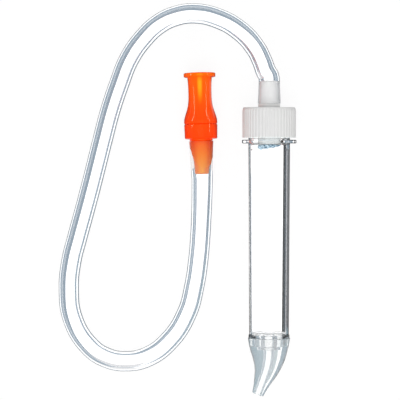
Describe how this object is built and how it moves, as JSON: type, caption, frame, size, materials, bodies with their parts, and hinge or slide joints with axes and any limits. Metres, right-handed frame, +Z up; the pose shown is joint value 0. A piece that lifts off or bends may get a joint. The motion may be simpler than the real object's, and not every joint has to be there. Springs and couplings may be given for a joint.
{
  "type": "nasal aspirator",
  "caption": "Mouth-suction nasal aspirator: clear barrel with a soft curved nozzle, ribbed screw cap with foam filter, free hose and mouthpiece.",
  "frame": {"origin": "centre of the bounding box without the hose, on the table that the set lies on", "axes": "+Y along the barrel towards the cap's hose stub, +Z up from the table, +X towards the barrel's side"},
  "size_m": [0.0942, 0.1557, 0.0217],
  "materials": {
    "orange_plastic": "translucent moulded",
    "clear_pvc": "clear, smooth",
    "white_plastic": "satin moulded",
    "blue_foam": "open-cell foam",
    "seal_rubber": "soft, matt",
    "clear_plastic": "clear, polished",
    "clear_silicone": "clear, slightly hazy"
  },
  "bodies": {
    "cap": {"cap": "white_plastic", "hose": "clear_pvc"},
    "seal_ring": {"seal_ring": "seal_rubber"},
    "barrel": {"barrel": "clear_plastic"},
    "nozzle": {"nozzle": "clear_silicone"},
    "filter": {"filter": "blue_foam"},
    "mouthpiece": {"mouthpiece": "orange_plastic", "hose_connector": "orange_plastic"}
  },
  "joints": [
    {"name": "seal_travel", "type": "slide", "parent": "cap", "child": "seal_ring", "axis": [0, -0.9995, -0.0312], "range_m": [0, 0.0097]},
    {"name": "barrel_turn", "type": "hinge", "parent": "seal_ring", "child": "barrel", "pos_m": [0.0115, 0.0372, 0.01079], "axis": [0, -0.9995, -0.0312], "range_deg": [0, 1080]},
    {"name": "nozzle_pull", "type": "slide", "parent": "barrel", "child": "nozzle", "axis": [0, -0.9995, -0.0312], "range_m": [0, 0.01]},
    {"name": "filter_pull", "type": "slide", "parent": "cap", "child": "filter", "axis": [0, -0.9995, -0.0312], "range_m": [0, 0.008]},
    {"name": "mouthpiece_pull", "type": "slide", "parent": "cap", "child": "mouthpiece", "axis": [-0.0262, 0.9997, 0], "range_m": [0, 0.016]}
  ],
  "couplings": [
    {"joint": "seal_travel", "follows": "barrel_turn", "m_per_rad": 0.0005093}
  ]
}
